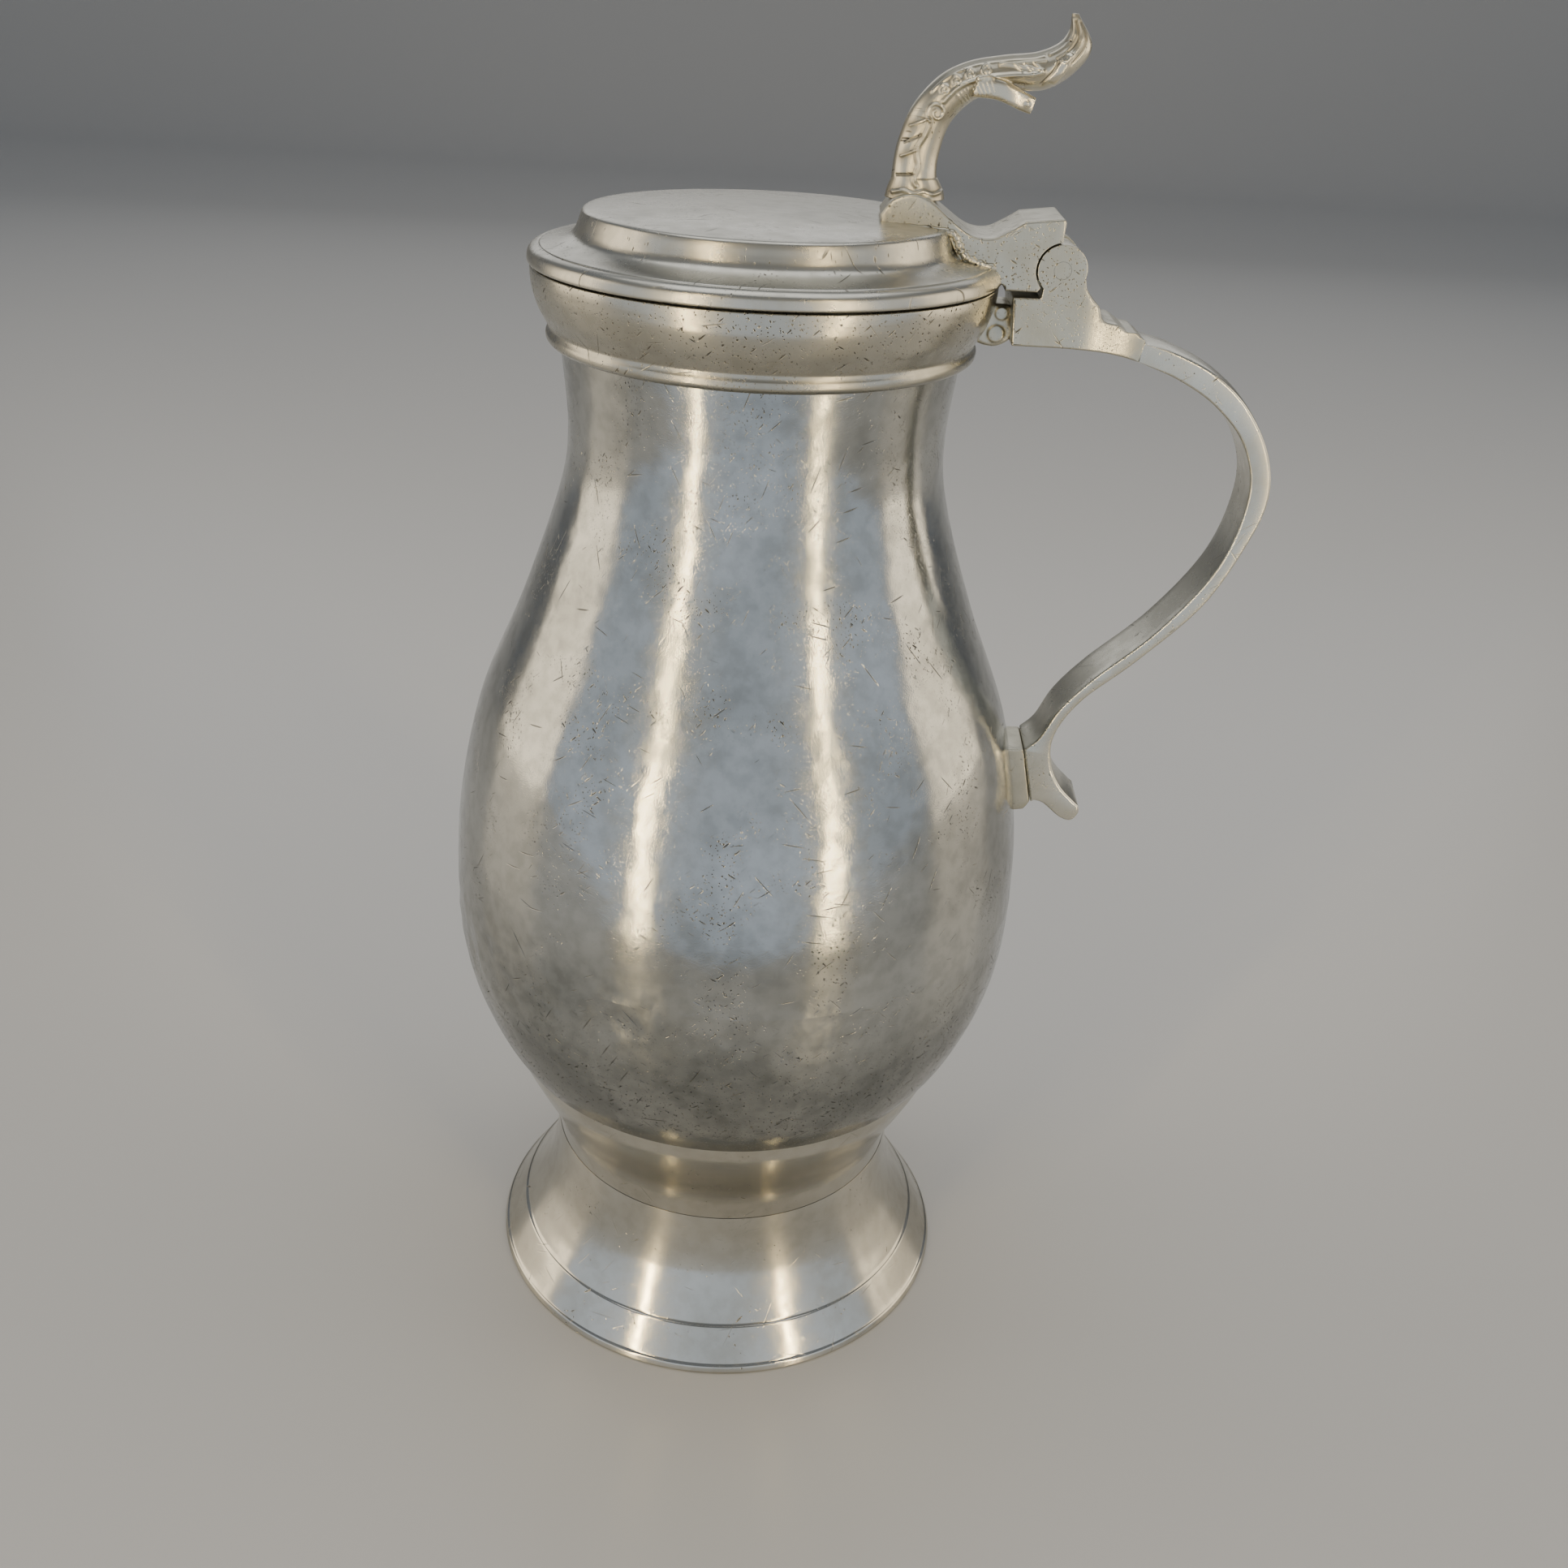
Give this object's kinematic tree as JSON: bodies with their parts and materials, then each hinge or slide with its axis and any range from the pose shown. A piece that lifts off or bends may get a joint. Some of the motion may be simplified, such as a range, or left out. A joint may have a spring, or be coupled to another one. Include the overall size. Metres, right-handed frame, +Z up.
{
  "type": "lidded flagon",
  "caption": "Pear-shaped pewter flagon on a spool foot, with a flat strap handle and a hinged lid raised by a scrolled thumbpiece.",
  "frame": {"origin": "centre of the foot ring, on the plane that the foot stands on", "axes": "+Z up along the vessel's axis, +X towards the handle, +Y to the back of the handle plane"},
  "size_m": [0.1737, 0.1326, 0.2986],
  "materials": {
    "body_pewter": "worn satin pewter with pits and hairline scratches",
    "lip_pewter": "worn satin pewter, densely pitted",
    "lid_pewter": "brushed satin pewter",
    "polished_foot": "smooth polished pewter",
    "cast_pewter": "filed cast pewter with pores",
    "thumbpiece_pewter": "cast relief pewter with dark recesses",
    "handle_pewter": "hand-worn satin pewter",
    "inside_pewter": "dull oxidised pewter"
  },
  "bodies": {
    "vessel": {"foot": "polished_foot", "foot_collar": "polished_foot", "floor_disc": "inside_pewter", "body_lower": "body_pewter", "body_upper": "body_pewter", "lip_band": "lip_pewter", "handle_bracket": "cast_pewter", "hinge_pin": "cast_pewter", "handle_strap": "handle_pewter", "lower_lug": "cast_pewter", "upper_strut": "cast_pewter"},
    "lid": {"lid_cover": "lid_pewter", "lid_bezel": "inside_pewter", "lid_hinge_lug": "cast_pewter", "thumbpiece": "thumbpiece_pewter"}
  },
  "joints": [
    {"name": "lid_hinge", "type": "hinge", "parent": "vessel", "child": "lid", "pos_m": [0.0582, 0, 0.2537], "axis": [0, 1, 0], "range_deg": [0, 112]}
  ]
}
